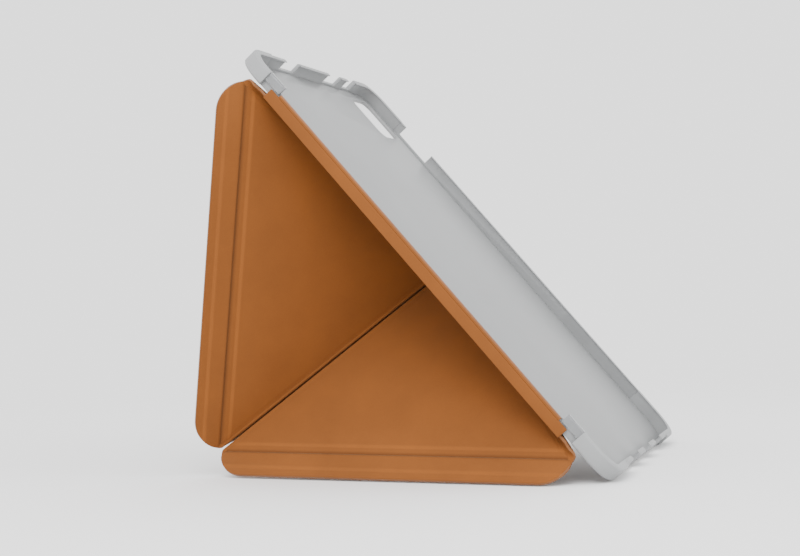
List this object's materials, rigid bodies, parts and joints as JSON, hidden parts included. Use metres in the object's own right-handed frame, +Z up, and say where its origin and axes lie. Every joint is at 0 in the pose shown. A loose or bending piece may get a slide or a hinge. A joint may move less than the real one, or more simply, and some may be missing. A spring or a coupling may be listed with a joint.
{
  "type": "tablet case",
  "caption": "Tablet case: translucent corner-bumper tray on a leather-like cover that folds, origami style, into a pyramid stand behind the upright tablet.",
  "frame": {"origin": "bottom centre of the bounding box, on the table, in the standing pose", "axes": "+Z up from the table, +X from the cover's spine towards the tray's far side, -Y the way the screen side faces"},
  "size_m": [0.1914, 0.2018, 0.1985],
  "materials": {
    "frosted_plastic": "frosted translucent",
    "bumper_plastic": "frosted translucent, thicker",
    "clear_plastic": "clear",
    "leather": "smooth tan leather-like skin",
    "lining": "tan microfibre",
    "board": "stiff board",
    "magnet": "plated"
  },
  "bodies": {
    "tray": {"back_plate": "frosted_plastic", "bumper_top_left": "bumper_plastic", "bumper_top_right": "bumper_plastic", "bumper_bottom_left": "bumper_plastic", "bumper_bottom_right": "bumper_plastic", "top_rail": "frosted_plastic", "bottom_rail": "frosted_plastic", "right_rail": "frosted_plastic", "left_rail": "frosted_plastic", "clip_top": "clear_plastic", "clip_bottom": "clear_plastic", "spine_anchor": "leather", "tray_magnets": "magnet"},
    "spine": {"spine_leather": "leather", "spine_lining": "lining"},
    "centre_panel": {"centre_leather": "leather", "centre_board": "board", "centre_lining": "lining"},
    "upper_wing": {"upper_wing_leather": "leather", "upper_wing_board": "board", "upper_rim_board": "board", "upper_wing_lining": "lining", "upper_wing_magnets": "magnet"},
    "lower_wing": {"lower_wing_leather": "leather", "lower_wing_board": "board", "lower_rim_board": "board", "lower_wing_lining": "lining", "lower_wing_magnets": "magnet"},
    "upper_fin": {"upper_fin_leather": "leather", "upper_fin_board": "board", "upper_fin_lining": "lining", "upper_fin_magnets": "magnet"},
    "lower_fin": {"lower_fin_leather": "leather", "lower_fin_board": "board", "lower_fin_lining": "lining", "lower_fin_magnets": "magnet"}
  },
  "joints": [
    {"name": "spine_hinge", "type": "hinge", "parent": "tray", "child": "spine", "pos_m": [-0.08849, -0.01417, 0.10119], "axis": [0, 0.6441, 0.7649], "range_deg": [0, 180]},
    {"name": "cover_hinge", "type": "hinge", "parent": "spine", "child": "centre_panel", "pos_m": [-0.08849, -0.00958, 0.09733], "axis": [0, 0.6441, 0.7649], "range_deg": [0, 180]},
    {"name": "upper_wing_fold", "type": "hinge", "parent": "centre_panel", "child": "upper_wing", "pos_m": [-0.00549, -0.00958, 0.09733], "axis": [0.5971, -0.5167, -0.6136], "range_deg": [0, 109.74]},
    {"name": "lower_wing_fold", "type": "hinge", "parent": "centre_panel", "child": "lower_wing", "pos_m": [-0.00549, -0.00958, 0.09733], "axis": [-0.5971, -0.5167, -0.6136], "range_deg": [0, 109.74]},
    {"name": "upper_fin_fold", "type": "hinge", "parent": "upper_wing", "child": "upper_fin", "pos_m": [-0.00549, -0.00958, 0.09733], "axis": [-0.4085, 0.6982, -0.5879], "range_deg": [0, 55.8]},
    {"name": "lower_fin_fold", "type": "hinge", "parent": "lower_wing", "child": "lower_fin", "pos_m": [-0.00549, -0.00958, 0.09733], "axis": [0.4085, -0.6982, 0.5879], "range_deg": [0, 55.8]}
  ],
  "couplings": [
    {"joint": "upper_wing_fold", "follows": "cover_hinge", "ratio": 0.60966},
    {"joint": "lower_wing_fold", "follows": "cover_hinge", "ratio": 0.60966},
    {"joint": "upper_fin_fold", "follows": "cover_hinge", "ratio": 0.30999},
    {"joint": "lower_fin_fold", "follows": "cover_hinge", "ratio": 0.30999}
  ]
}
